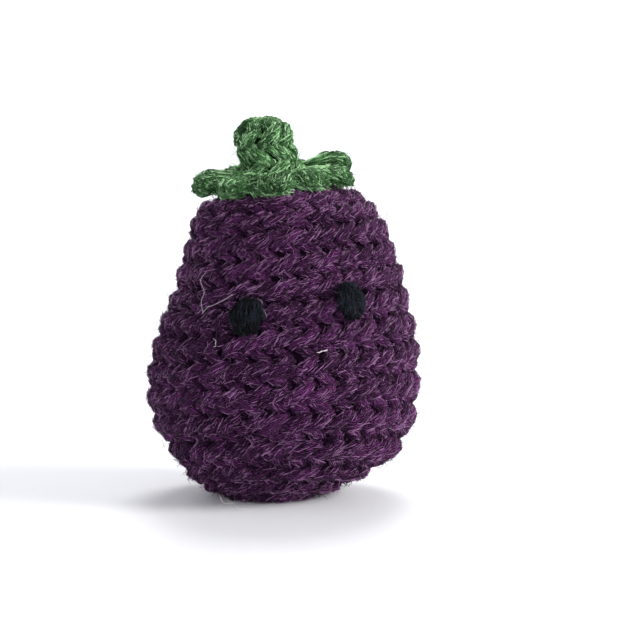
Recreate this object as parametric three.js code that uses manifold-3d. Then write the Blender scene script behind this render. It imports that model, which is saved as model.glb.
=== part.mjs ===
// Crocheted toy in the shape of an eggplant, standing upright on a small flat spot.
// Millimetres, +Z up, the face looks along -Y. The fabric is single crochet worked in rounds.
import * as THREE from "three";
import Module from "manifold-3d";

// The shell: its form is read off by radius and height, from the middle of the base to the top opening
const MERIDIAN = [
  [0, -1.4],
  [6.5, -1.2],
  [11.3, 0.4],
  [15, 2.2],
  [18.6, 4.4],
  [22.6, 8.1],
  [25.7, 13],
  [27.6, 19],
  [28.2, 26],
  [27.4, 33],
  [25.6, 40],
  [23.3, 47],
  [21.2, 54],
  [19.4, 60],
  [17.4, 63],
  [13.6, 64.7],
  [8, 65.3],
  [1.3, 65.4],
];
// A hand-stuffed toy isn't straight: each level's middle is shifted, and its rounds slope up to the right
// and towards the face. Pairs are height and amount
const SHIFT_RIGHT = [[0, -3], [8, 0.1], [14, 0.4], [24, 0], [36, 0], [46, 0.6], [56, 0.4], [65, -0.8]];
const SHIFT_BACK = [[0, -4], [14, 0]];
const RISE_RIGHT = [[8, 0], [29, 0.08], [47, 0.12], [55, 0.12], [65, 0.07]];
const RISE_BACK = [[7, -0.16], [29, -0.06]];

// Rounds of single crochet from the base up: stitches in the round and its height along the fabric
const ROUNDS = [
  [6, 5.2],
  [12, 5.2],
  [18, 5.4],
  [24, 6.1],
  [30, 7.9],
  [36, 7.1],
  [36, 6.6],
  [36, 6.1],
  [36, 5.9],
  [36, 5.5],
  [30, 5.1],
  [30, 5.3],
  [30, 5.3],
  [24, 4.8],
  [24, 4.8],
  [18, 4.6],
];
const CREST = 0.9; // how far a stitch stands out from the form
const VALLEY = 0.3; // how far the fabric between two legs of yarn lies inside the form
const HOLE = 1.3; // how deep the hole between two stitches goes
const LOW_LEGS = { up: 0.32, crest: 0.6, shift: -0.22 }; // legs that lean left, low in the round
const HIGH_LEGS = { up: 0.7, crest: 1, shift: 0.12 }; // legs that lean right, under the holes
const WALL = 3; // yarn and loops together
const FLAT_FADE = 1.6; // the relief dies out this far above the table
// Where the inner side has its rings, and where it ends at the top opening, in shares of the meridian
const INNER_SHARES = [0.11, 0.2, 0.29, 0.39, 0.5, 0.62, 0.74, 0.85, 0.93];
const OPENING_SHARE = 0.988;

const GAP = 0.3; // between two pieces that touch

// The eyes: satin-stitched ovals. Turn is measured around the body from +X, up is a level of the body
const EYE_WIDTH = 7;
const EYE_HEIGHT = 8.4;
const EYE_THICK = 1.5;
const SATIN_STITCHES = 7;
const SATIN_RELIEF = 0.3;
const EYES = { eye_left: { turn: -106, up: 39.9 }, eye_right: { turn: -59.5, up: 40.5 } };

// The leaf cap: a disc with short curled lobes round a stubby stem, all of thick yarn strands
const CAP_PLACE = new THREE.Vector3(-2.2, 0, 67);
const CAP_TILT_LEFT = 4;
const CAP_TILT_FORWARD = 2;
const DISC_RADIUS = 12.6;
const DISC_THICK = 3.6;
const DISC_DROOP = 0.9;
// Each lobe: turn around the stem, reach of its tip, half its width, and how far it is curled up
const LOBES = [
  { turn: 187, reach: 17, wide: 4.2, lift: 0.5 },
  { turn: 231, reach: 16, wide: 3.9, lift: -0.4 },
  { turn: 273, reach: 16, wide: 4.2, lift: -0.3 },
  { turn: 313, reach: 15.6, wide: 3.9, lift: -0.1 },
  { turn: 350, reach: 17, wide: 4, lift: 0 },
  { turn: 22, reach: 17.6, wide: 3.9, lift: 1.9 },
  { turn: 70, reach: 16, wide: 4.2, lift: 0.4 },
  { turn: 128, reach: 16, wide: 4.2, lift: 0.2 },
];
const LOBE_LEGS = [-1, 0, 1];
const LEG_RADIUS = 1.75;
const TIP_RADIUS = 1.5;
const STRAND_SIDES = 7;

// The stem: a closed tube of three rounds, six stitches in each
const STEM_CORE = [[6.4, -0.5], [5.6, 1.6], [4.7, 4], [4.5, 7], [4.9, 9.6], [4.4, 11.6], [2.6, 12.8]];
const STEM_TOP = 13;
const STEM_LEAN_LEFT = 0.13;
const STEM_STITCHES = 6;
// Each round: its low and high end up the stem, how far out they lie, and its lean in stitches
const STEM_ROUNDS = [
  { low: 0.4, high: 4.4, lowOut: 6.2, highOut: 4.9, lean: 0.7 },
  { low: 4, high: 8.2, lowOut: 4.9, highOut: 4.9, lean: -0.7 },
  { low: 7.8, high: 11.8, lowOut: 5, highOut: 4.6, lean: 0.7 },
  { low: 11.6, high: 12.9, lowOut: 4, highOut: 1, lean: 0.6 },
];
const STEM_STRAND_RADIUS = 1.45;

const meridian = new THREE.SplineCurve(MERIDIAN.map(([r, z]) => new THREE.Vector2(r, z)));
meridian.arcLengthDivisions = 400;
const MERIDIAN_LENGTH = meridian.getLength();
const STITCHED_LENGTH = ROUNDS.reduce((sum, [, height]) => sum + height, 0);

// Value at a level, along straight lines between listed pairs
function along(pairs, level) {
  if (level <= pairs[0][0]) {
    return pairs[0][1];
  }
  for (let i = 1; i < pairs.length; i++) {
    const [low, a] = pairs[i - 1];
    const [high, b] = pairs[i];
    if (level <= high) {
      return a + ((b - a) * (level - low)) / (high - low);
    }
  }
  return pairs[pairs.length - 1][1];
}

// A point of the body's form, `out` mm outside it, at a distance along the meridian and an angle around
function bodyPoint(distance, angle, out, floor = 0) {
  const share = THREE.MathUtils.clamp(distance / MERIDIAN_LENGTH, 0, 1);
  const p = meridian.getPointAt(share);
  const t = meridian.getTangentAt(THREE.MathUtils.clamp(share, 0.001, 0.999));
  const radius = Math.max(p.x + t.y * out, 0);
  const level = p.y - t.x * out;
  const x = radius * Math.cos(angle);
  const y = radius * Math.sin(angle);
  const z = level + along(RISE_RIGHT, p.y) * x + along(RISE_BACK, p.y) * y;
  return new THREE.Vector3(
    x + along(SHIFT_RIGHT, p.y),
    y + along(SHIFT_BACK, p.y),
    Math.max(z, floor),
  );
}

// Distance along the meridian where the form reaches a level on its way up
function distanceAt(level) {
  let low = 0.2 * MERIDIAN_LENGTH;
  let high = MERIDIAN_LENGTH;
  for (let i = 0; i < 40; i++) {
    const middle = (low + high) / 2;
    if (meridian.getPointAt(middle / MERIDIAN_LENGTH).y < level) {
      low = middle;
    } else {
      high = middle;
    }
  }
  return low;
}

function meshFrom(points, corners) {
  const g = new THREE.BufferGeometry();
  g.setAttribute("position", new THREE.Float32BufferAttribute(points.flatMap((p) => [p.x, p.y, p.z]), 3));
  g.setIndex(corners);
  return g;
}

// Corners of the faces between two rings, whose counts may differ. `a` and `b` are each a first point's
// number and a count. Where the points pair up, diagonals lean right, or left if `lean` is negative
function between(a, b, lean) {
  const corners = [];
  const endA = a.count > 1 ? a.count : 0;
  const endB = b.count > 1 ? b.count : 0;
  let i = 0;
  let j = 0;
  while (i < endA || j < endB) {
    const nextA = (i + 1) / a.count;
    const nextB = (j + 1) / b.count - lean * 0.001;
    const at = a.first + (i % a.count);
    const bt = b.first + (j % b.count);
    if (i < endA && (j >= endB || nextA <= nextB)) {
      i += 1;
      corners.push(at, a.first + (i % a.count), bt);
    } else {
      j += 1;
      corners.push(at, b.first + (j % b.count), bt);
    }
  }
  return corners;
}

// Closed mesh through rings of points, listed from below and each anticlockwise from above. The first and
// last are single points
function loft(rings, leans = []) {
  const corners = [];
  let below = { first: 0, count: rings[0].length };
  rings.slice(1).forEach((points, i) => {
    const ring = { first: below.first + below.count, count: points.length };
    corners.push(between(below, ring, leans[i] ?? 1));
    below = ring;
  });
  return meshFrom(rings.flat(), corners.flat());
}

// One ring across a round of stitches: two points a stitch, `crest` and `valley` mm over the form, moved
// sideways by `shift` stitches. The relief dies out on the flat spot
function stitchRing(distance, stitches, crest, valley, shift = 0) {
  const points = [];
  for (let k = 0; k < 2 * stitches; k++) {
    const angle = ((k / 2 + shift) / stitches) * 2 * Math.PI;
    const clear = bodyPoint(distance, angle, 0, -10).z / FLAT_FADE;
    const fade = THREE.MathUtils.smoothstep(clear, 0, 1);
    points.push(bodyPoint(distance, angle, (k % 2 ? crest : valley) * fade));
  }
  return points;
}

// Shell: outer side with the stitches in relief, then the opening, then the smooth inner side
function bodyShell() {
  const rings = [[bodyPoint(0, 0, 0)]];
  const leans = [];
  const link = (points, lean = 1) => {
    rings.push(points);
    leans.push(lean);
  };
  let distance = 0;
  ROUNDS.forEach(([stitches, height], index) => {
    const legs = ({ up, crest, shift }, lean) => {
      link(stitchRing(distance + up * height, stitches, crest * CREST, -VALLEY, shift), lean);
    };
    if (index > 0) {
      link(stitchRing(distance, stitches, -0.4 * HOLE, -HOLE));
      legs(LOW_LEGS, -1);
    }
    legs(HIGH_LEGS, 1);
    distance += height;
  });
  for (const share of [0, 0.4, 0.75]) {
    link(stitchRing(THREE.MathUtils.lerp(distance, MERIDIAN_LENGTH, share), 12, 0, 0));
  }
  link(stitchRing(MERIDIAN_LENGTH, 6, 0, 0));
  link(innerRing(OPENING_SHARE, 12, WALL));
  for (const share of [...INNER_SHARES].reverse()) {
    link(innerRing(share, 24, WALL));
  }
  link([bodyPoint(0, 0, -WALL, WALL)]);
  return loft(rings, leans);
}

// A ring inside the shell at a share of the meridian, `deep` mm in from the form
function innerRing(share, count, deep) {
  return Array.from({ length: count }, (_, k) => (
    bodyPoint(share * MERIDIAN_LENGTH, (k / count) * 2 * Math.PI, -deep, deep)
  ));
}

// Filling: the shell's hollow less a gap
function stuffing() {
  const deep = WALL + GAP;
  return loft([
    [bodyPoint(0, 0, -deep, deep)],
    ...INNER_SHARES.map((share) => innerRing(share, 24, deep)),
    [bodyPoint(MERIDIAN_LENGTH, 0, -deep - 0.4, deep)],
  ]);
}

// Eye: columns of points across the oval, each satin stitch a ridge that runs up the oval
function eye({ turn, up }) {
  const columns = 2 * SATIN_STITCHES;
  const rows = 6;
  const place = distanceAt(up);
  const radius = meridian.getPointAt(place / MERIDIAN_LENGTH).x;
  const under = CREST + GAP;
  const points = { outer: [], inner: [] };
  for (let i = 0; i <= columns; i++) {
    const across = -1 + (2 * i) / columns;
    const half = Math.sqrt(1.02 - across * across);
    for (let j = 0; j <= rows; j++) {
      const upward = (-1 + (2 * j) / rows) * half;
      const angle = THREE.MathUtils.degToRad(turn) + (across * EYE_WIDTH) / 2 / radius;
      const distance = place + (upward * EYE_HEIGHT) / 2;
      const dome = 1 - 0.55 * (across * across + upward * upward);
      const ridge = i % 2 ? SATIN_RELIEF : 0;
      points.outer.push(bodyPoint(distance, angle, under + EYE_THICK * dome + ridge));
      points.inner.push(bodyPoint(distance, angle, under));
    }
  }
  return pad(points, columns, rows);
}

// Closed mesh from two grids of points that face each other
function pad({ outer, inner }, columns, rows) {
  const corners = [];
  const n = outer.length;
  const at = (i, j) => i * (rows + 1) + j;
  const quad = (a, b, c, d) => corners.push(a, b, c, a, c, d);
  for (let i = 0; i < columns; i++) {
    for (let j = 0; j < rows; j++) {
      quad(at(i, j), at(i + 1, j), at(i + 1, j + 1), at(i, j + 1));
      quad(n + at(i, j), n + at(i, j + 1), n + at(i + 1, j + 1), n + at(i + 1, j));
    }
    quad(at(i + 1, 0), at(i, 0), n + at(i, 0), n + at(i + 1, 0));
    quad(at(i, rows), at(i + 1, rows), n + at(i + 1, rows), n + at(i, rows));
  }
  for (let j = 0; j < rows; j++) {
    quad(at(0, j), at(0, j + 1), n + at(0, j + 1), n + at(0, j));
    quad(at(columns, j + 1), at(columns, j), n + at(columns, j), n + at(columns, j + 1));
  }
  return meshFrom([...outer, ...inner], corners);
}

// A ring of points round the cap's own axis
function circle(radius, height, count) {
  return Array.from({ length: count }, (_, k) => {
    const angle = (k / count) * 2 * Math.PI;
    return new THREE.Vector3(radius * Math.cos(angle), radius * Math.sin(angle), height);
  });
}

// Disc of the leaf cap: a lens with a rounded rim, drooping towards it
function capDisc() {
  const rim = [[0.55, -0.5], [0.9, -0.42], [1, 0], [0.9, 0.34], [0.55, 0.5]];
  return loft([
    circle(0, -DISC_THICK / 2, 1),
    ...rim.map(([r, h]) => circle(DISC_RADIUS * r, DISC_THICK * h - DISC_DROOP * r * r, 24)),
    circle(0, DISC_THICK / 2, 1),
  ]);
}

// A thick strand of yarn along a smooth path, rounded off at both ends
function strand(path, radius, steps) {
  const curve = new THREE.CatmullRomCurve3(path.map((p) => new THREE.Vector3(...p)));
  const { normals, binormals, tangents } = curve.computeFrenetFrames(steps);
  const end = (i, way) => [
    curve.getPointAt(i / steps).addScaledVector(tangents[i], way * radius * 0.6),
  ];
  const ring = (_, i) => {
    const middle = curve.getPointAt(i / steps);
    const r = radius * (i === 0 || i === steps ? 0.72 : 1);
    return circle(r, 0, STRAND_SIDES).map((c) => middle.clone()
      .addScaledVector(normals[i], c.x)
      .addScaledVector(binormals[i], c.y));
  };
  return loft([end(0, -1), ...Array.from({ length: steps + 1 }, ring), end(steps, 1)]);
}

// Lobe: legs of yarn that fan out from the stem and curl down, closed off by a loop across the tip
function lobe({ turn, reach, wide, lift }) {
  const legs = LOBE_LEGS.map((side) => strand([
    [4.5, 0.9 * side, 1],
    [reach - 6.5, 0.45 * wide * side, 1.2 + 0.5 * lift],
    [reach - 2.8, 0.62 * wide * side, 0.8 + lift],
    [reach - 1.6, 0.66 * wide * side, -1 + lift],
  ], LEG_RADIUS, 5));
  const tip = strand([
    [reach - 4.6, -wide, -0.7 + 0.7 * lift],
    [reach - 1.9, -0.75 * wide, -0.4 + lift],
    [reach - 1.2, 0, -0.2 + lift],
    [reach - 1.9, 0.75 * wide, -0.4 + lift],
    [reach - 4.6, wide, -0.7 + 0.7 * lift],
  ], TIP_RADIUS, 7);
  return [...legs, tip].map((g) => g.rotateZ(THREE.MathUtils.degToRad(turn)));
}

// Stem: a tapering core with one slanting strand for each stitch of each round
function stem() {
  const core = loft([
    circle(0, -1, 1),
    ...STEM_CORE.map(([radius, height]) => circle(radius, height, 18)),
    circle(0, STEM_TOP, 1),
  ]);
  const strands = STEM_ROUNDS.flatMap(({ low, high, lowOut, highOut, lean }, round) => {
    const middleOut = (lowOut + highOut) / 2 + 0.5;
    return Array.from({ length: STEM_STITCHES }, (_, k) => {
      const at = (share, out, height) => {
        const angle = ((k + 0.5 * round + lean * share) / STEM_STITCHES) * 2 * Math.PI;
        return [out * Math.cos(angle), out * Math.sin(angle), height];
      };
      const path = [at(0, lowOut, low), at(0.5, middleOut, (low + high) / 2), at(1, highOut, high)];
      return strand(path, STEM_STRAND_RADIUS, 3);
    });
  });
  const leaned = new THREE.Matrix4().makeShear(0, 0, 0, 0, -STEM_LEAN_LEFT, 0);
  return [core, ...strands].map((g) => g.applyMatrix4(leaned));
}

// The body's form grown past its stitches and a gap, for cutting the cap's underside
function grownBody() {
  const levels = 30;
  const rings = [[bodyPoint(0, 0, 0)]];
  for (let i = 2; i <= levels; i++) {
    const distance = (i / levels) * MERIDIAN_LENGTH;
    const out = GAP + (distance < STITCHED_LENGTH ? CREST : 0);
    rings.push(Array.from({ length: 32 }, (_, k) => bodyPoint(distance, (k / 32) * 2 * Math.PI, out)));
  }
  const top = rings[rings.length - 1].reduce((sum, p) => sum.add(p), new THREE.Vector3());
  rings.push([top.divideScalar(32)]);
  return loft(rings);
}

const wasm = await Module();
wasm.setup();

function solidOf(geometry) {
  const mesh = new wasm.Mesh({
    numProp: 3,
    vertProperties: new Float32Array(geometry.attributes.position.array),
    triVerts: new Uint32Array(geometry.index.array),
  });
  return new wasm.Manifold(mesh);
}

function geometryOf(solid) {
  const { vertProperties, triVerts } = solid.getMesh();
  const g = new THREE.BufferGeometry();
  g.setAttribute("position", new THREE.Float32BufferAttribute(vertProperties, 3));
  g.setIndex([...triVerts]);
  return g;
}

// The whole cap as one solid, tilted on to the body's top
function leafCap() {
  const place = new THREE.Matrix4().makeRotationFromEuler(new THREE.Euler(
    THREE.MathUtils.degToRad(CAP_TILT_FORWARD),
    THREE.MathUtils.degToRad(-CAP_TILT_LEFT),
    0,
  ));
  place.setPosition(CAP_PLACE);
  const solids = [capDisc(), ...stem(), ...LOBES.flatMap(lobe)].map((g) => solidOf(g.applyMatrix4(place)));
  const whole = solids.reduce((sum, solid) => sum.add(solid));
  return geometryOf(whole.subtract(solidOf(grownBody())));
}

function node(name, geometry, colour) {
  geometry.computeVertexNormals();
  const mesh = new THREE.Mesh(geometry, new THREE.MeshStandardMaterial({ color: colour, roughness: 0.95 }));
  mesh.name = name;
  return mesh;
}

const toy = new THREE.Group();
toy.add(node("body_shell", bodyShell(), 0x3d2540));
toy.add(node("stuffing", stuffing(), 0xf2efe8));
toy.add(node("leaf_cap", leafCap(), 0x5b8a55));
for (const [name, place] of Object.entries(EYES)) {
  toy.add(node(name, eye(place), 0x0d1a1a));
}
export default toy;
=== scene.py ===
# %% [markdown]
# # A crocheted eggplant toy
# The real thing is a hand-sized soft toy: a shell of purple yarn crocheted round by round, stuffed with
# loose fibre, with a green leaf cap sewn on top and two eyes embroidered on the front. Yarn is the whole
# look, so yarn is what gets modelled: one strand is shaped and then laid along every leg of every stitch.
# All lengths in this file are in millimetres until a mesh is made, and the face looks along -Y.

import math

import bpy
import numpy as np
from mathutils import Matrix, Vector


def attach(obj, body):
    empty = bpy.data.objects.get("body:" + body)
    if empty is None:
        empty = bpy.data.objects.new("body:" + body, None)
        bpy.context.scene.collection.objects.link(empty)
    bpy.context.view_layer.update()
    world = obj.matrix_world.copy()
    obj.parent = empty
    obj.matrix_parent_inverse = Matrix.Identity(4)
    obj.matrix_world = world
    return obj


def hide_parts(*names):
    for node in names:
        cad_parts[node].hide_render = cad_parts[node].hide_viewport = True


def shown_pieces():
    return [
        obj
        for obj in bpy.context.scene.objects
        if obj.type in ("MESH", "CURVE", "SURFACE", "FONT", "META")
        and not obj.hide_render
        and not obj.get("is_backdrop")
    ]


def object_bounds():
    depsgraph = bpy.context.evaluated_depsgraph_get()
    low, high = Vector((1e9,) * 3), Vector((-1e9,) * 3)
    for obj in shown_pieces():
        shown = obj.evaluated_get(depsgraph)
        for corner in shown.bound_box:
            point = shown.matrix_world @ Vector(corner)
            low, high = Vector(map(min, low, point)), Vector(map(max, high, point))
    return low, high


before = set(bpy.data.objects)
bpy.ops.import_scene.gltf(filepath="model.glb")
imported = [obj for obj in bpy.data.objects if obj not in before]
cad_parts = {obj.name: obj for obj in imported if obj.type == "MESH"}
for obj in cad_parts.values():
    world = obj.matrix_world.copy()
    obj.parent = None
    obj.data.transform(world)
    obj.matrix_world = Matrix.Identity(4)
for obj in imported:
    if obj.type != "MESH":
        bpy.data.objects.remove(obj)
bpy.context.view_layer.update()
bpy.ops.object.select_all(action="DESELECT")
dice = np.random.default_rng(12)
MM = 0.001
print("solid nodes:", sorted(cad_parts))

# %% [markdown]
# ## The form under the stitches
# A crocheted ball is a stack of rounds, so its form is one curve turned about the middle. The curve is
# given by a few radius and height pairs and is measured along its own length, as fabric is. A hand-stuffed
# toy isn't straight: each level's middle is shifted a little, and the rounds slope up to the right and
# towards the face. Wherever the form would sink into the table it is flattened, as the soft toy is.

# %% Body form
MERIDIAN = [
    (0, -1.4), (6.5, -1.2), (11.3, 0.4), (15, 2.2), (18.6, 4.4), (22.6, 8.1), (25.7, 13), (27.6, 19),
    (28.2, 26), (27.4, 33), (25.6, 40), (23.3, 47), (21.2, 54), (19.4, 60), (17.4, 63), (13.6, 64.7),
    (8, 65.3), (1.3, 65.4),
]
SHIFT_RIGHT = [(0, -3), (8, 0.1), (14, 0.4), (24, 0), (36, 0), (46, 0.6), (56, 0.4), (65, -0.8)]
SHIFT_BACK = [(0, -4), (14, 0)]
RISE_RIGHT = [(8, 0), (29, 0.08), (47, 0.12), (55, 0.12), (65, 0.07)]
RISE_BACK = [(7, -0.16), (29, -0.06)]


def smooth_curve(points, steps=40):
    """Even curve through the points, as dense samples and the length up to each."""
    p = np.array(points, float)
    before = np.vstack([p[:1], p[:-1]])[:-1]
    after = np.vstack([p[1:], p[-1:]])[1:]
    t = np.linspace(0, 1, steps, endpoint=False)[None, :, None]
    a, b = p[:-1, None], p[1:, None]
    pull_a, pull_b = (b - before[:, None]) / 2, (after[:, None] - a) / 2
    curve = (2 * a - 2 * b + pull_a + pull_b) * t**3 + (3 * b - 3 * a - 2 * pull_a - pull_b) * t**2
    curve = (curve + pull_a * t + a).reshape(-1, p.shape[1])
    curve = np.vstack([curve, p[-1:]])
    length = np.r_[0, np.cumsum(np.linalg.norm(np.diff(curve, axis=0), axis=1))]
    return curve, length


def at_level(pairs, level):
    pairs = np.array(pairs, float)
    return np.interp(level, pairs[:, 0], pairs[:, 1])


body_curve, body_length = smooth_curve(MERIDIAN)
body_slope = np.gradient(body_curve, body_length, axis=0)


def body_point(distance, angle, out):
    """Point `out` mm outside the form, `distance` mm up the fabric from the middle of the base."""
    radius, level = (np.interp(distance, body_length, body_curve[:, i]) for i in (0, 1))
    run, climb = (np.interp(distance, body_length, body_slope[:, i]) for i in (0, 1))
    wide = np.maximum(radius + climb * out, 0)
    x, y = wide * np.cos(angle), wide * np.sin(angle)
    z = level - run * out + at_level(RISE_RIGHT, level) * x + at_level(RISE_BACK, level) * y
    x, y = x + at_level(SHIFT_RIGHT, level), y + at_level(SHIFT_BACK, level)
    return np.stack(np.broadcast_arrays(x, y, np.maximum(z, 0)), -1)


print("fabric from the base to the top opening: %.1f mm" % body_length[-1])

# %% [markdown]
# ## The stuffed shell
# Behind the legs of yarn lies the back of the fabric, pushed out from inside by the filling. It is made as
# it grows on the hook: a small ring, extruded outwards and upwards once for each level. After that every
# ring is set on the leaning form. A cloth simulation isn't used here: crochet holds the shape its stitch
# counts give it, and the stitches must sit on exactly the same form.

# %% Shell behind the stitches
FABRIC_DEPTH = -1.2
SHELL_COLUMNS = 72
SHELL_LEVELS = 40
SHELL_START = 0.012
# How the lines of a finish wind on a closed piece: how many go round it, their spacing up it and slant
WINDS_ROUND = 24
WIND_SPACING = 7.5
WIND_SLANT = 0.5


def edit(obj):
    bpy.ops.object.select_all(action="DESELECT")
    bpy.context.view_layer.objects.active = obj
    obj.select_set(True)
    bpy.ops.object.mode_set(mode="EDIT")


def leave_edit():
    bpy.ops.object.mode_set(mode="OBJECT")
    bpy.ops.object.select_all(action="DESELECT")


def wind_uv(obj, up, turn):
    """UV map of the yarn finishes: up the piece in U and round it in V, a little slanted."""
    corners = np.array([loop.vertex_index for loop in obj.data.loops])
    around = (turn / (2 * np.pi) * WINDS_ROUND)[corners]
    wound = np.stack([up[corners] / WIND_SPACING + around * WIND_SLANT, around], 1)
    while obj.data.uv_layers:
        obj.data.uv_layers.remove(obj.data.uv_layers[0])
    obj.data.uv_layers.new(name="yarn").data.foreach_set("uv", wound.ravel())


def make_shell():
    levels = np.linspace(SHELL_START, 1, SHELL_LEVELS) * body_length[-1]
    radii = np.interp(levels, body_length, body_curve[:, 0])
    heights = np.interp(levels, body_length, body_curve[:, 1])
    bpy.ops.mesh.primitive_circle_add(
        vertices=SHELL_COLUMNS, radius=radii[0] * MM, fill_type="NGON", location=(0, 0, heights[0] * MM)
    )
    shell = bpy.context.object
    shell.name = shell.data.name = "shell_fabric"
    bpy.ops.object.transform_apply(location=True)
    edit(shell)
    bpy.ops.mesh.select_all(action="SELECT")
    for i in range(1, len(levels)):
        rise = (heights[i] - heights[i - 1]) * MM
        bpy.ops.mesh.extrude_region_move(TRANSFORM_OT_translate={"value": (0, 0, rise)})
        wider = radii[i] / radii[i - 1]
        middle = (0, 0, heights[i] * MM)
        bpy.ops.transform.resize(value=(wider, wider, 1), center_override=middle)
    bpy.ops.mesh.select_all(action="SELECT")
    bpy.ops.mesh.normals_make_consistent(inside=False)
    leave_edit()
    co = np.array([v.co for v in shell.data.vertices]) / MM
    across = np.hypot(co[:, 0], co[:, 1])
    nearest = np.abs(co[:, 2:3] - heights[None]) + np.abs(across[:, None] - radii[None])
    at = levels[nearest.argmin(1)]
    co = body_point(at, np.arctan2(co[:, 1], co[:, 0]), FABRIC_DEPTH)
    shell.data.vertices.foreach_set("co", (co * MM).ravel())
    shell.data.update()
    wind_uv(shell, at, np.arctan2(co[:, 1], co[:, 0]))
    return shell


shell = make_shell()
bpy.context.view_layer.objects.active = shell
shell.select_set(True)
bpy.ops.object.shade_smooth()
bpy.ops.object.select_all(action="DESELECT")
print("shell:", len(shell.data.polygons), "faces")

# %% [markdown]
# ## One strand of yarn
# The yarn is three plies twisted together and is about 2 mm thick. A strand starts as a filled circle of
# nine corners that is extruded along its length. Every third corner is then pushed out to make a ply, and
# each ring is turned a little further than the last, so the plies wind round. The model is straight, and
# copies of it are bent along their paths later, so it has fewer than a hundred faces. A stray fibre is
# made the same way from three corners, or from five where it is seen close up.

# %% The strand models
PLY_BULGE = 1.14
PLY_DIP = 0.93


def model_strand(name, sides, rings, plies, twist):
    bpy.ops.mesh.primitive_circle_add(vertices=sides, radius=1, fill_type="NGON")
    strand = bpy.context.object
    strand.name = name
    edit(strand)
    bpy.ops.mesh.select_all(action="SELECT")
    for _ in range(rings - 1):
        bpy.ops.mesh.extrude_region_move(TRANSFORM_OT_translate={"value": (0, 0, 1)})
    bpy.ops.mesh.select_all(action="SELECT")
    bpy.ops.mesh.normals_make_consistent(inside=False)
    leave_edit()
    co = np.array([v.co for v in strand.data.vertices])
    ring = np.rint(co[:, 2]).astype(int)
    turn = np.arctan2(co[:, 1], co[:, 0])
    corner = np.rint(turn / (2 * np.pi / sides)).astype(int) % sides
    radius = np.where(corner % 3 == 0, PLY_BULGE, PLY_DIP) if plies else np.ones(len(co))
    turn = turn + np.radians(twist) * ring
    section = np.stack([radius * np.cos(turn), radius * np.sin(turn)], 1)
    faces = [list(p.vertices) for p in strand.data.polygons]
    bpy.data.objects.remove(strand)
    return {
        "sides": sides, "rings": rings, "faces": faces,
        "ring": ring, "corner": corner, "section": section,
    }


short_strand = model_strand("short_strand", 9, 6, True, 20)
long_strand = model_strand("long_strand", 9, 11, True, 17)
fibre = model_strand("fibre", 3, 4, False, 0)
short_fibre = model_strand("short_fibre", 3, 3, False, 0)
tiny_fibre = model_strand("tiny_fibre", 3, 2, False, 0)
stray_hair = model_strand("stray_hair", 5, 14, False, 0)
for model in (short_strand, long_strand, fibre, short_fibre, tiny_fibre, stray_hair):
    print("model with", model["rings"], "rings:", len(model["faces"]), "faces")

# %% [markdown]
# ## Laying copies along paths
# A leg of a stitch is a short curved path through a few points. A copy of the strand is bent along it:
# each ring of the model goes to its share of the path, square to it, with one side turned outwards. All
# copies of a kind are bent at once and become one mesh. The UV map runs round the strand in U and along it
# in V, so that the ply lines of the finish follow the yarn. Each copy also gets a tone of its own.


# %% Laying strands
def path_weights(points, at):
    """How much each path point counts at each place along a smooth curve through them."""
    weights = np.zeros((len(at), points))
    for row, t in enumerate(np.clip(at, 0, points - 1 - 1e-9)):
        i = int(t)
        f = t - i
        parts = (
            (i - 1, (-f + 2 * f**2 - f**3) / 2),
            (i, (2 - 5 * f**2 + 3 * f**3) / 2),
            (i + 1, (f + 4 * f**2 - 3 * f**3) / 2),
            (i + 2, (-(f**2) + f**3) / 2),
        )
        for k, share in parts:
            weights[row, min(max(k, 0), points - 1)] += share
    return weights


def unit(v):
    return v / np.maximum(np.linalg.norm(v, axis=-1, keepdims=True), 1e-9)


def lay(model, paths, radii, outwards, taper):
    """Bends one copy of the model along each path. taper gives the share of the radius at each ring."""
    paths, outwards = np.asarray(paths, float), np.asarray(outwards, float)
    count, points = paths.shape[:2]
    at = np.linspace(0, points - 1, model["rings"])
    middle = np.einsum("rk,nkd->nrd", path_weights(points, at), paths)
    ahead = np.einsum("rk,nkd->nrd", path_weights(points, at + 0.02), paths)
    behind = np.einsum("rk,nkd->nrd", path_weights(points, at - 0.02), paths)
    along = unit(ahead - behind)
    side = unit(np.cross(outwards[:, None], along))
    up = np.cross(along, side)
    ring, section = model["ring"], model["section"]
    radii = np.broadcast_to(radii, (count,))
    size = radii[:, None] * np.asarray(taper)[ring][None]
    co = middle[:, ring] + size[..., None] * (
        side[:, ring] * section[None, :, :1] + up[:, ring] * section[None, :, 1:]
    )
    step = np.linalg.norm(np.diff(middle, axis=1), axis=2)
    run = np.concatenate([np.zeros((count, 1)), np.cumsum(step, axis=1)], axis=1)[:, ring]
    return {
        "model": model, "co": co, "run": run, "out": up[:, ring], "radii": radii,
        "middle": middle, "side": side, "up": up, "taper": np.asarray(taper, float),
    }


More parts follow.
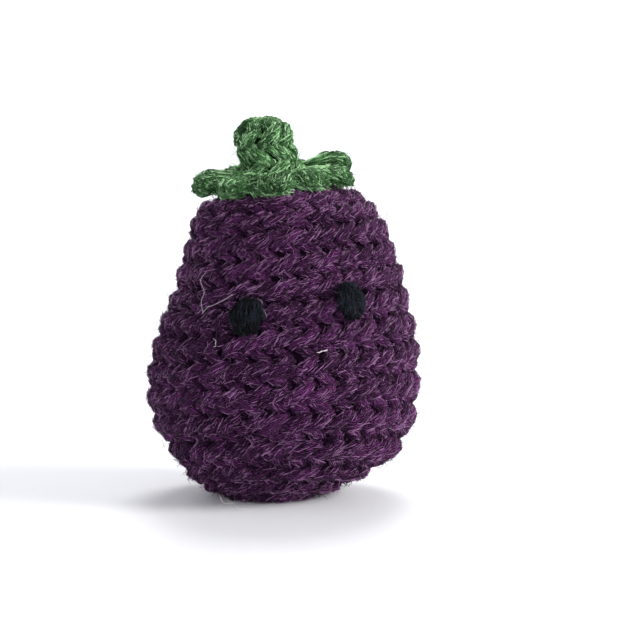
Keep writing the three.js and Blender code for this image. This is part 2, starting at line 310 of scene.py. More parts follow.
def strands_mesh(name, laid):
    """One object from several sets of laid copies, with its UV map and tones."""
    all_co, faces, loops_uv, tones = [], [], [], []
    start = 0
    for batch in laid:
        model, co = batch["model"], batch["co"]
        sides, corner = model["sides"], model["corner"]
        girth = 2 * np.pi * batch["radii"]
        for n in range(len(co)):
            shift = dice.uniform(0, 20)
            for face in model["faces"]:
                faces.append([start + v for v in face])
                seam = max(corner[face]) - min(corner[face]) > 1
                for v in face:
                    turn = corner[v] + (sides if seam and corner[v] == 0 else 0)
                    loops_uv.append((turn / sides, batch["run"][n, v] / girth[n] + shift))
            start += co.shape[1]
        all_co.append(co.reshape(-1, 3))
        tones.append(np.repeat(dice.uniform(0, 1, len(co)), co.shape[1]))
    mesh = bpy.data.meshes.new(name)
    points = np.concatenate(all_co)
    mesh.from_pydata((points * MM).tolist(), [], faces)
    mesh.uv_layers.new(name="yarn").data.foreach_set("uv", np.array(loops_uv).ravel())
    mesh.attributes.new("tone", "FLOAT", "POINT").data.foreach_set("value", np.concatenate(tones))
    mesh.polygons.foreach_set("use_smooth", [True] * len(mesh.polygons))
    mesh.update()
    obj = bpy.data.objects.new(name, mesh)
    bpy.context.collection.objects.link(obj)
    triangles = sum(len(p.vertices) - 2 for p in mesh.polygons)
    print("%s: %d copies, %d triangles" % (name, sum(len(b["co"]) for b in laid), triangles))
    return obj


TUCKED_END = 0.62
TUCKED_CURVE = 0.6


def tucked(rings, end=TUCKED_END):
    """A strand is full in its middle and thinner where it dives between its neighbours."""
    share = np.linspace(0, 1, rings)
    return end + (1 - end) * np.sin(np.pi * share) ** TUCKED_CURVE


# %% [markdown]
# ## The rounds of stitches
# The toy is worked in rounds of single crochet from a ring of six at the middle of the base: more stitches
# each round while it widens, the same number up the belly, and fewer towards the top. Each stitch shows a
# thick leg that leans right at the top of its round, a thinner leg that leans left below it, and a small
# loop that closes the stitch beside the hole. Hand work is never even, so every leg strays a little.
# The numbers of stitches are judged: the real toy may have a few less in its widest rounds.

# %% Stitches of the body
ROUNDS = [
    (6, 5.2), (12, 5.2), (18, 5.4), (24, 6.1), (30, 7.9), (36, 7.1), (36, 6.6), (36, 6.1), (36, 5.9),
    (36, 5.5), (30, 5.1), (30, 5.3), (30, 5.3), (24, 4.8), (24, 4.8), (18, 4.6),
]
# Each leg: its radius, then points as stitches along, share of the round's height and depth
LEGS = {
    "right_leg": (1.22, [
        (-0.78, 0.34, -1.05), (-0.43, 0.44, -0.5), (0.0, 0.62, -0.18), (0.4, 0.82, -0.45),
        (0.74, 0.94, -1.7),
    ]),
    "left_leg": (1.1, [
        (-0.62, 0.42, -1.05), (-0.22, 0.3, -0.72), (0.12, 0.16, -0.68), (0.46, 0.01, -1.8),
    ]),
    "loop": (0.6, [
        (-0.1, 0.94, -1.9), (0.14, 1.04, -1.45), (0.42, 1.06, -1.35), (0.62, 0.96, -1.9),
    ]),
}
FIRST_STITCH = 0.6
DRIFT = 0.17
# Yarn lies fuller in a taller round: the height at which it is as given, and how strongly it follows
FULL_HEIGHT = 6
FULL_POWER = 0.8
# How much deeper the stitches lie, by distance up the fabric: the base is pressed and the top drawn in
PRESSED = [(0, 0.8), (14, 0.7), (24, 0.55), (34, 0), (74, 0), (82, 0.8), (90, 0.5)]
STRAY = (0.045, 0.032, 0.1)


def stitch_paths(points):
    """Paths of one kind of leg for every stitch, the way each faces and how full its round's yarn lies."""
    paths, outwards, fullness = [], [], []
    distance = 0.0
    for number, (stitches, height) in enumerate(ROUNDS):
        for k in range(stitches):
            stray = dice.normal(0, 1, (len(points), 3)) * STRAY
            p = np.array(points) + stray
            angle = (k + FIRST_STITCH + DRIFT * number + p[:, 0]) / stitches * 2 * np.pi
            up = distance + p[:, 1] * height
            paths.append(body_point(up, angle, p[:, 2] - at_level(PRESSED, up)))
            middle, outer = (body_point(up.mean(), angle.mean(), out) for out in (0, 1))
            outwards.append(outer - middle)
            fullness.append((height / FULL_HEIGHT) ** FULL_POWER)
        distance += height
    return np.array(paths), unit(np.array(outwards) + 1e-6), np.array(fullness)


body_legs = []
for radius, points in LEGS.values():
    paths, outwards, fullness = stitch_paths(points)
    radii = radius * fullness * dice.uniform(0.92, 1.08, len(paths))
    batch = lay(short_strand, paths, radii, outwards, tucked(short_strand["rings"]))
    batch["co"][..., 2] = np.maximum(batch["co"][..., 2], 0)
    body_legs.append(batch)
body_yarn = strands_mesh("crocheted_body", body_legs)
print("rounds reach %.1f mm of %.1f mm" % (sum(h for _, h in ROUNDS), body_length[-1]))

# %% [markdown]
# ## The leaf cap
# The cap is a flat crocheted star with eight lobes and a stem worked up from its middle. It is sewn on a
# little left of the middle and leans a few degrees. Each lobe is a fan of legs closed by a loop round its
# tip, and the stem is four short rounds of leaning stitches that close over the top. Every leg here is a
# bundle of three strands, because the green yarn is held loosely and its strands show side by side.

# %% Cap measures
CAP_PLACE = (-2.2, 0, 67)
CAP_TILT_LEFT = math.radians(4)
CAP_TILT_FORWARD = math.radians(2)
STEM_LEAN_LEFT = 0.13
# Each lobe: turn in degrees, reach, half width and lift of the tip
LOBES = [
    (187, 17, 3.8, 0.5), (231, 16, 3.4, -0.4), (273, 16, 3.7, -0.3), (313, 15.6, 3.4, -0.1),
    (349, 17.3, 3.5, -0.5), (23, 17.6, 3.5, 2.2), (70, 16, 3.9, 0.4), (128, 16, 3.9, 0.2),
]
STEM_STITCHES = 7
# Each round of the stem: its low and high level, how far out it lies at each, and how far it leans
STEM_ROUNDS = [
    (0.4, 4.4, 6.4, 4.9, 1.1), (3.8, 8.2, 4.8, 4.8, -1.1), (7.6, 11.6, 5, 4.7, 1.1),
    (11.4, 12.8, 4.2, 1, 0.8),
]
STEM_BULGE = 0.5
STEM_STEP = 0.5
cosine, sine = math.cos(-CAP_TILT_LEFT), math.sin(-CAP_TILT_LEFT)
turn_left = np.array([(cosine, 0, sine), (0, 1, 0), (-sine, 0, cosine)])
cosine, sine = math.cos(CAP_TILT_FORWARD), math.sin(CAP_TILT_FORWARD)
turn_forward = np.array([(1, 0, 0), (0, cosine, -sine), (0, sine, cosine)])
cap_turn = turn_forward @ turn_left


def cap_to_toy(points):
    return points @ cap_turn.T + np.array(CAP_PLACE)


def keep_outside(points, least):
    """Pushes points that lie closer than `least` to the body's form straight out to that distance."""
    flat = points.reshape(-1, 3)
    level = flat[:, 2].copy()
    for _ in range(3):
        x = flat[:, 0] - at_level(SHIFT_RIGHT, level)
        y = flat[:, 1] - at_level(SHIFT_BACK, level)
        level = flat[:, 2] - at_level(RISE_RIGHT, level) * x - at_level(RISE_BACK, level) * y
    radius = np.hypot(x, y)
    gap = np.hypot(radius[:, None] - body_curve[None, ::4, 0], level[:, None] - body_curve[None, ::4, 1])
    near = gap.argmin(1) * 4
    normal = np.stack([body_slope[near, 1], -body_slope[near, 0]], 1)
    out = (radius - body_curve[near, 0]) * normal[:, 0] + (level - body_curve[near, 1]) * normal[:, 1]
    push = np.maximum(least - out, 0)
    spread = push * normal[:, 0] / np.maximum(radius, 1e-6)
    moved = flat + np.stack([x * spread, y * spread, push * normal[:, 1]], 1)
    return moved.reshape(points.shape)


# %% Cap strands
BUNDLE_TURNS = 0.8
CAP_STRAND_END = 0.75
CAP_CLEARANCE = 0.8


def bundle(path, outward, bundle_radius, strand_radius):
    """Three paths that wind slowly round one, and the way each faces."""
    path = np.array(path, float)
    along = unit(np.gradient(path, axis=0))
    side = unit(np.cross(outward, along))
    up = np.cross(along, side)
    start = dice.uniform(0, 2 * np.pi)
    paths = []
    for k in range(3):
        turn = start + 2 * np.pi * (k / 3 + BUNDLE_TURNS * np.linspace(0, 1, len(path)))
        offset = side * np.cos(turn)[:, None] + up * np.sin(turn)[:, None]
        paths.append(path + offset * bundle_radius)
    return paths, [outward] * 3, [strand_radius * dice.uniform(0.9, 1.1) for _ in range(3)]


def lobe_lines(turn, reach, wide, lift):
    """Middle lines of a lobe's four legs and of the loop under its tip."""
    legs = [
        [(4.5, 0.9 * side, 1), (reach - 6.5, 0.46 * wide * side, 1.4 + 0.5 * lift),
         (end - 2.4, 0.68 * wide * side, 1.3 + lift), (end - 0.5, 0.62 * wide * side, 0.2 + lift),
         (end - 0.9, 0.52 * wide * side, -1.6 + lift)]
        for side, end in ((-1, reach - 1.6), (-0.36, reach - 0.4), (0.36, reach - 0.4), (1, reach - 1.6))
    ]
    tip = [
        (reach - 5.4, -0.8 * wide, -0.8 + 0.7 * lift), (reach - 2.9, -0.68 * wide, -1 + lift),
        (reach - 2.0, 0, -1 + lift), (reach - 2.9, 0.68 * wide, -1 + lift),
        (reach - 5.4, 0.8 * wide, -0.8 + 0.7 * lift),
    ]
    c, s = math.cos(math.radians(turn)), math.sin(math.radians(turn))
    turned = np.array([(c, s, 0), (-s, c, 0), (0, 0, 1)])
    return [np.array(line) @ turned for line in (*legs, tip)]


def stem_lines():
    lines = []
    for number, (low, high, low_out, high_out, lean) in enumerate(STEM_ROUNDS):
        for k in range(STEM_STITCHES):
            places = [
                (0, low_out, low), (0.5, (low_out + high_out) / 2 + STEM_BULGE, (low + high) / 2),
                (1, high_out, high),
            ]
            around = [(k + STEM_STEP * number + lean * share) / STEM_STITCHES for share, _, _ in places]
            turns = [part * 2 * np.pi for part in around]
            line = [(out * np.cos(a), out * np.sin(a), z) for a, (_, out, z) in zip(turns, places)]
            lines.append(np.array([(x - STEM_LEAN_LEFT * z, y, z) for x, y, z in line]))
    return lines


DISC_LEGS = 14
# Each round of the disc: how far it leans, then points as distance from the middle and height
DISC_ROUNDS = [
    (0.5, [(5, 0.6), (6.8, 1.5), (8.6, 0.5)]), (-0.4, [(7.8, 0.6), (9.4, 1.5), (11, 0.5)]),
    (0.5, [(11, 0.2), (12.6, -0.1), (12.7, -1.9)]),
]


def disc_lines():
    """Rounds of leaning legs that cover the disc between the stem and the lobes, and its rim."""
    lines = []
    for lean, places in DISC_ROUNDS:
        for k in range(DISC_LEGS):
            turns = [(k + lean * i) / DISC_LEGS * 2 * np.pi for i in range(3)]
            line = [(r * np.cos(a), r * np.sin(a), z) for a, (r, z) in zip(turns, places)]
            lines.append(np.array(line))
    return lines


def many_bundles(lines, outward_of, bundle_radius, strand_radius, model):
    paths, outwards, radii = [], [], []
    for line in lines:
        p, o, r = bundle(line, outward_of(line), bundle_radius, strand_radius)
        paths += p
        outwards += o
        radii += r
    paths, outwards = cap_to_toy(np.array(paths)), np.array(outwards) @ cap_turn.T
    batch = lay(model, paths, np.array(radii), outwards, tucked(model["rings"], CAP_STRAND_END))
    batch["co"] = keep_outside(batch["co"], CAP_CLEARANCE)
    return batch


def upward(line):
    return np.array((0, 0, 1.0))


def from_stem(line):
    middle = line.mean(0)
    return unit(np.array((middle[0], middle[1], 0.3 * middle[2])))


lobe_legs, lobe_tips = [], []
for lobe in LOBES:
    lines = lobe_lines(*lobe)
    lobe_legs += lines[:4]
    lobe_tips.append(lines[4])
cap_parts = [
    many_bundles(lobe_legs, upward, 0.72, 0.86, long_strand),
    many_bundles(lobe_tips, upward, 0.8, 0.95, long_strand),
    many_bundles(stem_lines(), from_stem, 0.7, 0.92, short_strand),
    many_bundles(disc_lines(), upward, 0.7, 0.85, short_strand),
]
cap_yarn = strands_mesh("leaf_cap_yarn", cap_parts)

# %% [markdown]
# ## Behind the cap's strands
# The strands of the cap leave small openings, so a plain closed body fills the stem and the disc behind
# them. It is a ring extruded up the stem like the shell was, then set a little inside the strands.

# %% Cap core
CAP_CORE = [
    (12.4, -2.4), (12.7, -1.6), (12, -0.4), (8.5, 0.5), (6, 1.2), (5, 3), (4.4, 5.5), (4.3, 8), (4.4, 10),
    (3.4, 11.8), (1.4, 12.5),
]
CORE_COLUMNS = 40
CORE_CLEARANCE = 0.3


def make_cap_core():
    radius, height = CAP_CORE[0]
    bpy.ops.mesh.primitive_circle_add(
        vertices=CORE_COLUMNS, radius=radius * MM, fill_type="NGON", location=(0, 0, height * MM)
    )
    core = bpy.context.object
    core.name = core.data.name = "cap_core"
    bpy.ops.object.transform_apply(location=True)
    edit(core)
    bpy.ops.mesh.select_all(action="SELECT")
    for (r0, z0), (r1, z1) in zip(CAP_CORE, CAP_CORE[1:]):
        bpy.ops.mesh.extrude_region_move(TRANSFORM_OT_translate={"value": (0, 0, (z1 - z0) * MM)})
        bpy.ops.transform.resize(value=(r1 / r0, r1 / r0, 1), center_override=(0, 0, z1 * MM))
    bpy.ops.mesh.select_all(action="SELECT")
    bpy.ops.mesh.normals_make_consistent(inside=False)
    leave_edit()
    co = np.array([v.co for v in core.data.vertices]) / MM
    wind_uv(core, co[:, 2] - np.hypot(co[:, 0], co[:, 1]), np.arctan2(co[:, 1], co[:, 0]))
    co[:, 0] -= STEM_LEAN_LEFT * np.maximum(co[:, 2], 0)
    co = keep_outside(cap_to_toy(co), CORE_CLEARANCE)
    core.data.vertices.foreach_set("co", (co * MM).ravel())
    core.data.update()
    core.select_set(True)
    bpy.context.view_layer.objects.active = core
    bpy.ops.object.shade_smooth()
    bpy.ops.object.select_all(action="DESELECT")
    return core


cap_core = make_cap_core()
print("cap core:", len(cap_core.data.polygons), "faces")

# %% [markdown]
# ## The eyes
# The eyes are embroidered: straight satin stitches of dark thread, side by side, over the finished fabric.
# The middle stitches are the longest and lie highest, so each eye is a slightly domed oval.

# %% Satin stitches
EYE_HEIGHT = 7.8
EYE_THREADS = 11
THREAD_RADIUS = 0.5
THREAD_END = 0.7
# Share of the half width where the outer threads lie, then how high the threads lie at the edge, how much
# higher in the middle, how fast that falls off and how deep their ends sink
EYE_EDGE = 0.95
EYE_OUT = 1.35
EYE_DOME = 1.15
EYE_FALL = 0.55
EYE_SINK = 0.9
# Each eye: turn round the toy in degrees, level, width, lean of its stitches and the solid that it dresses
EYES = {
    "left_eye_thread": (-106.5, 39.8, 6.2, -0.08, "eye_left"),
    "right_eye_thread": (-59.8, 40.7, 5.1, -0.15, "eye_right"),
}


def distance_at(level):
    high = body_length > 0.2 * body_length[-1]
    return float(np.interp(level, body_curve[high, 1], body_length[high]))


def eye_threads(turn, level, width, slant):
    place = distance_at(level)
    radius = float(np.interp(place, body_length, body_curve[:, 0]))
    paths, outwards = [], []
    for k in range(EYE_THREADS):
        across = -EYE_EDGE + 2 * EYE_EDGE * k / (EYE_THREADS - 1)
        half = math.sqrt(1.0 - across * across) * dice.uniform(0.94, 1.06)
        lean = slant + dice.normal(0, 0.07)
        points = []
        for share in (-1, -0.75, 0, 0.75, 1):
            upward_share = share * half
            dome = 1 - EYE_FALL * (across * across + upward_share * upward_share)
            angle = math.radians(turn) + (across + lean * share) * width / 2 / radius
            sink = EYE_SINK if abs(share) == 1 else 0
            out = EYE_OUT + EYE_DOME * dome - sink
            points.append(body_point(place + upward_share * EYE_HEIGHT / 2, angle, out))
        paths.append(points)
        middle, outer = (body_point(place, math.radians(turn), far) for far in (0, 1))
        outwards.append(outer - middle)
    radii = THREAD_RADIUS * dice.uniform(0.92, 1.1, EYE_THREADS)
    return lay(long_strand, paths, radii, outwards, tucked(long_strand["rings"], THREAD_END))


eyes = {}
for name, (*place, node) in EYES.items():
    batch = eye_threads(*place)
    eyes[name] = (strands_mesh(name, [batch]), batch, node)

# %% [markdown]
# ## Fibres on the strands
# Seen close up, a leg of yarn is a bundle of thin hairs that wind along it, some light and some dark. A
# pattern alone looks painted on, so thin three-sided fibres are laid over the outer side of every strand.
# They wind over it loosely, and now and then an end stands off.

# %% Winding fibres
FIBRE_TAPER = [0.8, 1, 0.8, 0.2]
SHORT_TAPER = [0.35, 1, 0.25]
TINY_TAPER = [1, 0.6]
# Degrees that a fibre winds along a whole strand, and degrees from the outer side where it may lie
WINDING = 50
OUTER_SIDE = 115
# How loosely a fibre lies at its start, middle and end, and the share of fibres whose end lies down
LOOSENESS = (0.03, 0.09, 0.14)
LYING_ENDS = 0.85


def along_strand(values, share):
    """Values given at a strand's rings, read at other shares of its length."""
    place = share * (values.shape[1] - 1)
    low = np.minimum(place.astype(int), values.shape[1] - 2)
    part = (place - low)[..., None]
    row = np.arange(len(values))[:, None]
    return values[row, low] * (1 - part) + values[row, low + 1] * part


def winding_paths(batch, per_strand, stand_off, wander, reach):
    """Paths of thin fibres that wind over the outer side of each strand.

    wander is how many degrees they stray from the winding, reach how much of the strand they may follow.
    """
    pick = np.repeat(np.arange(len(batch["middle"])), per_strand)
    count = len(pick)
    start = dice.uniform(0.02, 0.78, (count, 1))
    share = np.minimum(start + dice.uniform(0.3 * reach, reach, (count, 1)) * np.linspace(0, 1, 3), 0.99)
    middle, side, up = (along_strand(batch[key][pick], share) for key in ("middle", "side", "up"))
    full = np.interp(share, np.linspace(0, 1, len(batch["taper"])), batch["taper"])
    winding = WINDING + dice.normal(0, wander, (count, 1))
    turn = np.radians(dice.uniform(-OUTER_SIDE, OUTER_SIDE, (count, 1)) + winding * (share - start))
    loose = np.abs(dice.normal(0, 1, (count, 3))) * LOOSENESS * stand_off
    loose[:, 2] += stand_off * 0.4 * (dice.uniform(0, 1, count) > LYING_ENDS)
    way = side * np.sin(turn)[..., None] + up * np.cos(turn)[..., None]
    out = full * batch["radii"][pick][:, None] * 1.03 + loose
    return middle + way * out[..., None], way.mean(1)


def winding_fibres(name, batches, per_strand, thick, stand_off, wander, reach, kind):
    laid = []
    model, taper = kind
    for batch in batches:
        paths, outwards = winding_paths(batch, per_strand, stand_off, wander, reach)
        radii = thick * dice.uniform(0.6, 1.4, len(paths))
        fibres = lay(model, paths, radii, outwards, taper)
        fibres["co"][..., 2] = np.maximum(fibres["co"][..., 2], 0)
        laid.append(fibres)
    return strands_mesh(name, laid)


tiny = (tiny_fibre, TINY_TAPER)
right_leg_fibres = winding_fibres("right_leg_fibres", body_legs[:1], 57, 0.066, 1.0, 150, 0.22, tiny)
left_leg_fibres = winding_fibres("left_leg_fibres", body_legs[1:], 27, 0.064, 1.0, 150, 0.26, tiny)
cap_fibres = winding_fibres("cap_fibres", cap_parts, 50, 0.088, 0.9, 60, 0.36, tiny)
short = (short_fibre, SHORT_TAPER)
eye_batches = [batch for _, batch, _ in eyes.values()]
eye_fibres = winding_fibres("eye_fibres", eye_batches, 70, 0.05, 1.1, 420, 0.4, short)

# %% [markdown]
# ## Loose hairs
# Wool-like yarn is never clean: thin hairs stand off every strand and make a soft halo against the light.
# Hair particles would be the quick way, but only real meshes keep their place in the finished part. So a
# thin hair is copied thousands of times. Each starts at a random point of the yarn, leans along the
# surface and curls. A few pale strays from another yarn are at the front, and one of them hangs clear of
# the toy before its foot.

# %% Hairs
HAIR_CURL = 0.45
HAIR_WAVE = 0.24
# Each step of a hair: how far along, how far off the yarn, then how much it curls and waves there
HAIR_STEPS = [(0, -0.15, 0, 0), (0.33, 0.55, 0.2, 1), (0.66, 0.95, 0.6, -0.6), (1, 1, 1.1, 0.6)]


def hair_paths(batches, count, length, lift):
    points = np.concatenate([b["co"].reshape(-1, 3) for b in batches])
    normals = np.concatenate([b["out"].reshape(-1, 3) for b in batches])
    pick = dice.integers(0, len(points), count)
    root, normal = points[pick], normals[pick]
    way = unit(np.cross(normal, dice.normal(0, 1, (count, 3))))
    bend = np.cross(normal, way)
    long = length * dice.lognormal(0, 0.4, (count, 1))
    rise = lift * dice.lognormal(0, 0.5, (count, 1))
    curl = dice.normal(0, HAIR_CURL, (count, 1))
    wave = dice.normal(0, HAIR_WAVE, (count, 1))
    path = [
        root + way * long * a + normal * rise * b + bend * long * (curl * c + wave * d)
        for a, b, c, d in HAIR_STEPS
    ]
    return np.stack(path, 1), normal


def make_hairs(name, batches, count, length, lift, thick):
    paths, normals = hair_paths(batches, count, length, lift)
    radii = thick * dice.uniform(0.7, 1.3, count)
    batch = lay(fibre, paths, radii, normals, FIBRE_TAPER)
    batch["co"][..., 2] = np.maximum(batch["co"][..., 2], 0)
    return strands_mesh(name, [batch])


body_hairs = make_hairs("purple_hairs", body_legs[:2], 9400, 1.15, 0.58, 0.04)
cap_hairs = make_hairs("green_hairs", cap_parts, 2600, 1.1, 0.45, 0.042)
eye_hairs = make_hairs("eye_hairs", eye_batches, 420, 1.2, 0.3, 0.036)

# %% Pale strays
# Each stray: its thickness, then points as right and up on the front
STRAYS = [
    (0.036, [(-15.9, 49.4), (-17.1, 47.6), (-16.3, 45.4), (-16.9, 43.4), (-16.5, 41.2)]),
    (0.034, [(-16.8, 40.9), (-15.6, 42.4), (-14.2, 43), (-12.6, 43.9), (-10.4, 45.2)]),
    (0.04, [(-5.3, 44.6), (-4.3, 44), (-4.6, 43), (-3.9, 42.3), (-3.4, 41)]),
    (0.05, [(-14.4, 36.3), (-13.8, 36), (-13.9, 35.3), (-13.8, 34.9), (-14.3, 34.7)]),
    (0.1, [(6.8, 33.9), (7.3, 33.9), (7.8, 34.1), (8.3, 34.2), (8.9, 34.3)]),
    (0.045, [(-13.4, 3.4), (-12.2, 1.9), (-10.6, 2), (-9.4, 1.1), (-7.2, 0.9)]),
    (0.045, [(15.4, 44.6), (16, 44.5), (16.3, 43.7), (15.8, 43.2), (15.6, 42.4)]),
]
STRAY_OUT = 1.5
STRAY_WAVE = 0.5
# The form's curve above its base, where each height has one radius. A stray below it takes its first radius
upper_curve = body_curve[200:]


def on_front(right, up, out):
    """Point on the front of the toy at that place right and up, found from its form."""
    radius = np.interp(up, upper_curve[:, 1], upper_curve[:, 0]) + out
    x = right - at_level(SHIFT_RIGHT, up)
    return (right, -math.sqrt(max(radius**2 - x**2, 1)), up)


stray_paths = [
    [on_front(x, z, STRAY_OUT + STRAY_WAVE * (i % 2)) for i, (x, z) in enumerate(line)]
    for _, line in STRAYS
]
stray_radii = np.array([thick for thick, _ in STRAYS])
even = np.ones(stray_hair["rings"])
strays = strands_mesh(
    "pale_strays", [lay(stray_hair, stray_paths, stray_radii, [(0, -1, 0)] * len(STRAYS), even)]
)

# %% [markdown]
# ## Finishes
# One recipe makes every yarn: the shade comes from the strand's own tone, from fine lines that wind with
# the plies and from a cloudy noise over the whole piece, and the same lines raise a bump. Wool scatters
# light at grazing angles, so the purple and green yarn have a sheen. Only the colours and the sheen differ.


# %% Yarn finishes
def linear_part(part):
    """One part of a colour, from 0 to 255, as the linear value that the finishes need."""
    if part <= 10:
        return part / 255 / 12.92
    return ((part / 255 + 0.055) / 1.055) ** 2.4


def linear(shade):
    return tuple(linear_part(part) for part in shade) + (1,)


def add(tree, kind, **settings):
    node = tree.nodes.new(kind)
    for key, value in settings.items():
        setattr(node, key, value)
    return node


def yarn_finish(name, dark, middle, light, sheen, sheen_tint, lines=17, bump=0.9):
    material = bpy.data.materials.new(name)
    material.use_nodes = True
    tree = material.node_tree
    shader = tree.nodes["Principled BSDF"]
    link = tree.links.new
    uv = add(tree, "ShaderNodeUVMap", uv_map="yarn")
    place = add(tree, "ShaderNodeTexCoord")
    tone = add(tree, "ShaderNodeAttribute", attribute_name="tone")
    plies = add(tree, "ShaderNodeTexWave", wave_type="BANDS", bands_direction="X")
    plies.inputs["Scale"].default_value = lines * math.pi / 10
    plies.inputs["Distortion"].default_value = 6
    plies.inputs["Detail"].default_value = 2
    plies.inputs["Detail Scale"].default_value = 2.5
    stretch = add(tree, "ShaderNodeMapping")
    stretch.inputs["Scale"].default_value = (34, 9, 1)
    streaks = add(tree, "ShaderNodeTexNoise")
    streaks.inputs["Scale"].default_value = 1.0
    streaks.inputs["Detail"].default_value = 3
    clouds = add(tree, "ShaderNodeTexNoise")
    clouds.inputs["Scale"].default_value = 130
    clouds.inputs["Detail"].default_value = 2
    link(uv.outputs["UV"], plies.inputs["Vector"])
    link(uv.outputs["UV"], stretch.inputs["Vector"])
    link(stretch.outputs["Vector"], streaks.inputs["Vector"])
    link(place.outputs["Object"], clouds.inputs["Vector"])
    sharper = add(tree, "ShaderNodeMath", operation="MULTIPLY_ADD", use_clamp=True)
    sharper.inputs[1].default_value = 2.4
    sharper.inputs[2].default_value = -0.7
    fine = add(tree, "ShaderNodeMath", operation="MULTIPLY")
    link(streaks.outputs["Fac"], sharper.inputs[0])
    link(plies.outputs["Fac"], fine.inputs[0])
    link(sharper.outputs[0], fine.inputs[1])
    strand_tone = add(tree, "ShaderNodeMath", operation="MULTIPLY_ADD")
    strand_tone.inputs[1].default_value = 0.22
    link(tone.outputs["Fac"], strand_tone.inputs[0])
    link(fine.outputs[0], strand_tone.inputs[2])
    shade = add(tree, "ShaderNodeMath", operation="MULTIPLY_ADD")
    shade.inputs[1].default_value = 0.45
    link(clouds.outputs["Fac"], shade.inputs[0])
    link(strand_tone.outputs[0], shade.inputs[2])
    ramp = add(tree, "ShaderNodeValToRGB")
    ramp.color_ramp.elements[0].position = 0.34
    ramp.color_ramp.elements[0].color = linear(dark)
    ramp.color_ramp.elements[1].position = 0.9
    ramp.color_ramp.elements[1].color = linear(light)
    ramp.color_ramp.elements.new(0.56).color = linear(middle)
    link(shade.outputs[0], ramp.inputs["Fac"])
    link(ramp.outputs["Color"], shader.inputs["Base Color"])
    relief = add(tree, "ShaderNodeBump")
    relief.inputs["Strength"].default_value = bump
    relief.inputs["Distance"].default_value = 0.0004
    link(fine.outputs[0], relief.inputs["Height"])
    link(relief.outputs["Normal"], shader.inputs["Normal"])
    shader.inputs["Roughness"].default_value = 0.75
    shader.inputs["Specular IOR Level"].default_value = 0.1
    shader.inputs["Sheen Weight"].default_value = sheen
    shader.inputs["Sheen Roughness"].default_value = 0.45
    shader.inputs["Sheen Tint"].default_value = linear(sheen_tint)
    return material


def fibre_finish(name, dark, middle, light, scale, shine=0.2):
    """Thin fibres: each has its own tone, and clouds of noise vary it along the way."""
    material = bpy.data.materials.new(name)
    material.use_nodes = True
    tree = material.node_tree
    shader = tree.nodes["Principled BSDF"]
    place = add(tree, "ShaderNodeTexCoord")
    tone = add(tree, "ShaderNodeAttribute", attribute_name="tone")
    clouds = add(tree, "ShaderNodeTexNoise")
    clouds.inputs["Scale"].default_value = scale
    shade = add(tree, "ShaderNodeMath", operation="MULTIPLY_ADD")
    shade.inputs[1].default_value = 0.65
    ramp = add(tree, "ShaderNodeValToRGB")
    ramp.color_ramp.elements[0].position = 0.35
    ramp.color_ramp.elements[0].color = linear(dark)
    ramp.color_ramp.elements[1].position = 1.0
    ramp.color_ramp.elements[1].color = linear(light)
    ramp.color_ramp.elements.new(0.72).color = linear(middle)
    tree.links.new(place.outputs["Object"], clouds.inputs["Vector"])
    tree.links.new(tone.outputs["Fac"], shade.inputs[0])
    tree.links.new(clouds.outputs["Fac"], shade.inputs[2])
    tree.links.new(shade.outputs[0], ramp.inputs["Fac"])
    tree.links.new(ramp.outputs["Color"], shader.inputs["Base Color"])
    shader.inputs["Roughness"].default_value = 0.5
    shader.inputs["Specular IOR Level"].default_value = shine
    return material


purple_yarn = yarn_finish("purple yarn", (9, 1, 11), (29, 4, 32), (112, 52, 112), 0.05, (200, 130, 205))
# Painted shade: the fabric behind the stitches gets a darker copy of the purple yarn, so the holes between
# the stitches read as shaded.
purple_back_painted_shade = yarn_finish(
    "purple fabric in the holes with painted shade", (12, 2, 16), (28, 6, 32), (64, 20, 66), 0.0, (90, 60, 100)
)
green_yarn = yarn_finish("green yarn", (9, 31, 11), (40, 84, 40), (120, 168, 114), 0.05, (200, 230, 200))
# Painted shade: the cap core behind the green strands gets a darker copy of the green yarn, so the openings
# between the strands read as shaded.
green_back_painted_shade = yarn_finish(
    "green yarn inside with painted shade", (12, 36, 14), (26, 62, 26), (44, 88, 44), 0.0, (120, 160, 120)
)
eye_thread = yarn_finish("eye thread", (0, 1, 2), (2, 4, 6), (8, 13, 15), 0.0, (120, 150, 155))
purple_fibre = fibre_finish("purple fibre", (10, 1, 13), (49, 10, 52), (166, 120, 165), 260)
green_fibre = fibre_finish("green fibre", (12, 38, 14), (60, 126, 58), (196, 244, 186), 260)
dark_fibre = fibre_finish("dark fibre", (1, 1, 3), (2, 4, 7), (46, 54, 68), 260, 0.15)
pale_fibre = fibre_finish("pale fibre", (168, 150, 166), (196, 182, 194), (222, 212, 220), 260)
white_filling = fibre_finish("polyester filling", (215, 214, 208), (232, 231, 226), (246, 245, 240), 900)


# %% Putting the pieces together
def joined(main, other):
    bpy.ops.object.select_all(action="DESELECT")
    other.select_set(True)
    main.select_set(True)
    bpy.context.view_layer.objects.active = main
    bpy.ops.object.join()
    bpy.ops.object.select_all(action="DESELECT")
    return main


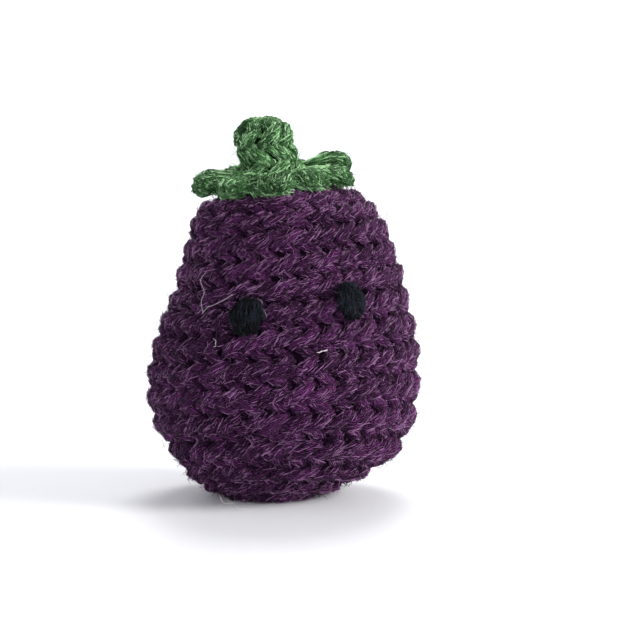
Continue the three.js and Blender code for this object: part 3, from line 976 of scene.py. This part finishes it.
body_yarn.data.materials.append(purple_yarn)
shell.data.materials.append(purple_back_painted_shade)
body_yarn = joined(body_yarn, shell)
cap_yarn.data.materials.append(green_yarn)
cap_core.data.materials.append(green_back_painted_shade)
cap_yarn = joined(cap_yarn, cap_core)
for piece, finish in (
    (right_leg_fibres, purple_fibre), (left_leg_fibres, purple_fibre), (body_hairs, purple_fibre),
    (cap_fibres, green_fibre), (cap_hairs, green_fibre), (eye_fibres, dark_fibre),
    (eye_hairs, dark_fibre), (strays, pale_fibre),
):
    piece.data.materials.append(finish)
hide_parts("body_shell")
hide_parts("leaf_cap")
for piece, _, node in eyes.values():
    piece.data.materials.append(eye_thread)
    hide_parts(node)
    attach(piece, "root")
for piece, slot in (
    (body_yarn, "purple_yarn"), (right_leg_fibres, "purple_yarn"), (left_leg_fibres, "purple_yarn"),
    (body_hairs, "purple_yarn"), (cap_yarn, "green_yarn"), (cap_fibres, "green_yarn"),
    (cap_hairs, "green_yarn"), (eye_fibres, "eye_thread"), (eye_hairs, "eye_thread"),
    (strays, "purple_yarn"),
):
    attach(piece, "root")
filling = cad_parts["stuffing"]
filling.data.materials.clear()
filling.data.materials.append(white_filling)
added = [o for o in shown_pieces() if o != filling]
counts = {o.name: sum(len(p.vertices) - 2 for p in o.data.polygons) for o in added}
print("triangles:", counts, "in all", sum(counts.values()))

# %% [markdown]
# ## Floor, light and camera
# The toy stands on a pale round floor whose rim curves up into a backdrop on all sides. The rim doesn't
# show from the front, but a camera that is low at the right side sees it as a faint line. One large soft
# light hangs above and behind, a second comes from the front right, and the camera looks at the face from
# slightly above.

# %% Studio floor
FLOOR_RINGS = [(1.5, 0), (1.75, 0.06), (1.92, 0.22), (2.0, 0.5), (2.0, 1.0)]


def make_floor():
    bpy.ops.mesh.primitive_circle_add(vertices=96, radius=FLOOR_RINGS[0][0], fill_type="NGON")
    floor = bpy.context.object
    floor.name = floor.data.name = "studio_floor"
    edit(floor)
    bpy.ops.mesh.select_mode(type="EDGE")
    bpy.ops.mesh.select_all(action="SELECT")
    bpy.ops.mesh.region_to_loop()
    for (r0, z0), (r1, z1) in zip(FLOOR_RINGS, FLOOR_RINGS[1:]):
        bpy.ops.mesh.extrude_edges_move(TRANSFORM_OT_translate={"value": (0, 0, z1 - z0)})
        bpy.ops.transform.resize(value=(r1 / r0, r1 / r0, 1), center_override=(0, 0, z1))
    leave_edit()
    floor.select_set(True)
    bpy.context.view_layer.objects.active = floor
    bpy.ops.object.shade_smooth()
    bpy.ops.object.select_all(action="DESELECT")
    return floor


floor = make_floor()
pale_floor = fibre_finish("pale floor", (243, 244, 248), (246, 247, 250), (248, 249, 251), 3)
lit_backdrop = fibre_finish("lit backdrop", (243, 244, 248), (246, 247, 250), (248, 249, 251), 3)
lit_backdrop.node_tree.nodes["Principled BSDF"].inputs["Emission Color"].default_value = (1, 1, 1, 1)
lit_backdrop.node_tree.nodes["Principled BSDF"].inputs["Emission Strength"].default_value = 0.6
floor.data.materials.append(pale_floor)
floor.data.materials.append(lit_backdrop)
for face in floor.data.polygons:
    face.material_index = int(face.center.length > FLOOR_RINGS[0][0])
floor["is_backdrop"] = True
print("floor faces:", len(floor.data.polygons))


# %% Light and camera
LOOK_FROM = 0.6
LOOK_DOWN = math.radians(6)
TOY_MIDDLE = Vector((0, 0, 0.04))
AIM = TOY_MIDDLE + Vector((0.00777, 0, -0.00255))
LENS = 158.6


def soft_light(name, place, size, power, colour):
    light = bpy.data.lights.new(name, "AREA")
    light.shape = "DISK"
    light.size = size
    light.energy = power
    light.color = colour
    obj = bpy.data.objects.new(name, light)
    obj.location = place
    obj.rotation_euler = (TOY_MIDDLE - Vector(place)).to_track_quat("-Z", "Y").to_euler()
    bpy.context.collection.objects.link(obj)


soft_light("back_top", (0.1, 0.75, 1.05), 0.6, 8.5, (1, 0.99, 0.98))
soft_light("front_right", (1.25, -0.37, 0.62), 0.75, 21.5, (1, 0.98, 0.95))
world = bpy.data.worlds.new("studio")
bpy.context.scene.world = world
world.use_nodes = True
world.node_tree.nodes["Background"].inputs["Color"].default_value = (0.95, 0.965, 1, 1)
world.node_tree.nodes["Background"].inputs["Strength"].default_value = 0.36

camera = bpy.data.objects.new("camera", bpy.data.cameras.new("camera"))
camera.data.lens = LENS
camera.data.sensor_width = 36
camera.data.clip_start = 0.01
camera.location = TOY_MIDDLE + LOOK_FROM * Vector((0, -math.cos(LOOK_DOWN), math.sin(LOOK_DOWN)))
camera.rotation_euler = (AIM - camera.location).to_track_quat("-Z", "Y").to_euler()
bpy.context.collection.objects.link(camera)
bpy.context.scene.camera = camera
bpy.context.scene.view_settings.view_transform = "Standard"
print("camera %.0f mm from the toy, lens %.1f mm" % (LOOK_FROM / MM, LENS))

# %% Size
toy_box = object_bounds()
low_corner, high_corner = ([round(c / MM, 1) for c in corner] for corner in toy_box)
print("lowest corner", low_corner, "highest", high_corner)
